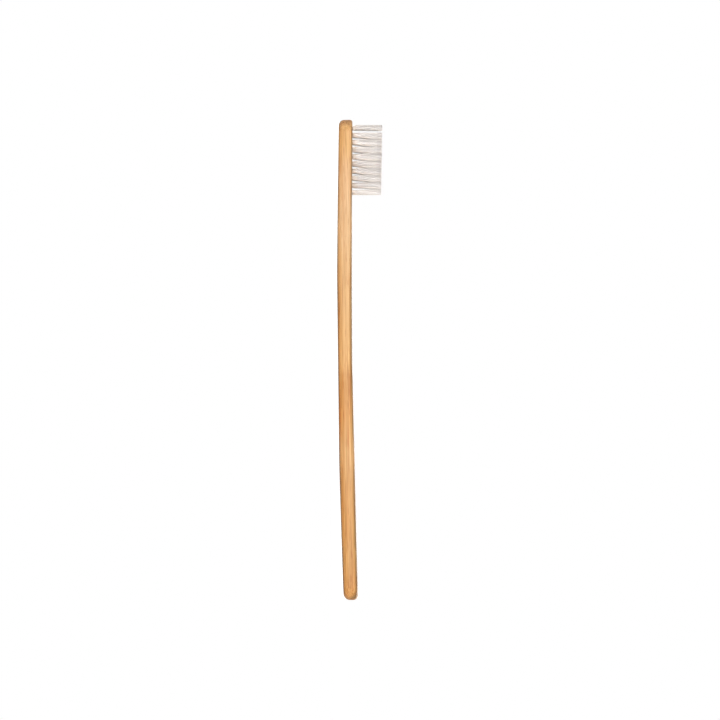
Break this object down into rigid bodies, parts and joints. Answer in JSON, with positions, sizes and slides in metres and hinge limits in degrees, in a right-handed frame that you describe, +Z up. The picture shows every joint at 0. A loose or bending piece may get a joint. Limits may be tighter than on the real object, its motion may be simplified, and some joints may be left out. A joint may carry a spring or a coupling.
{
  "type": "manual toothbrush",
  "caption": "Slim curved bamboo toothbrush with a round-ended head that holds a grid of nylon tufts, each pinned in a blind hole by a metal anchor.",
  "frame": {"origin": "on the surface that the brush lies on, under the middle of its box", "axes": "+X from the tip of the head to the butt, +Y across the handle, +Z up from the back of the handle along the bristles"},
  "size_m": [0.19, 0.0134, 0.0186],
  "materials": {
    "bamboo": "sanded bamboo, satin, with fine fibres along the handle",
    "nylon": "cream nylon filaments, slightly translucent",
    "anchor": "plain drawn strip"
  },
  "bodies": {
    "root": {"handle": "bamboo", "anchors": "anchor", "tuft_row01_col1": "nylon", "tuft_row01_col2": "nylon", "tuft_row01_col3": "nylon", "tuft_row02_col1": "nylon", "tuft_row02_col2": "nylon", "tuft_row02_col3": "nylon", "tuft_row02_col4": "nylon", "tuft_row03_col1": "nylon", "tuft_row03_col2": "nylon", "tuft_row03_col3": "nylon", "tuft_row03_col4": "nylon", "tuft_row04_col1": "nylon", "tuft_row04_col2": "nylon", "tuft_row04_col3": "nylon", "tuft_row04_col4": "nylon", "tuft_row05_col1": "nylon", "tuft_row05_col2": "nylon", "tuft_row05_col3": "nylon", "tuft_row05_col4": "nylon", "tuft_row06_col1": "nylon", "tuft_row06_col2": "nylon", "tuft_row06_col3": "nylon", "tuft_row06_col4": "nylon", "tuft_row07_col1": "nylon", "tuft_row07_col2": "nylon", "tuft_row07_col3": "nylon", "tuft_row07_col4": "nylon", "tuft_row08_col1": "nylon", "tuft_row08_col2": "nylon", "tuft_row08_col3": "nylon", "tuft_row08_col4": "nylon", "tuft_row09_col1": "nylon", "tuft_row09_col2": "nylon", "tuft_row09_col3": "nylon", "tuft_row09_col4": "nylon", "tuft_row10_col1": "nylon", "tuft_row10_col2": "nylon", "tuft_row10_col3": "nylon"}
  },
  "joints": []
}
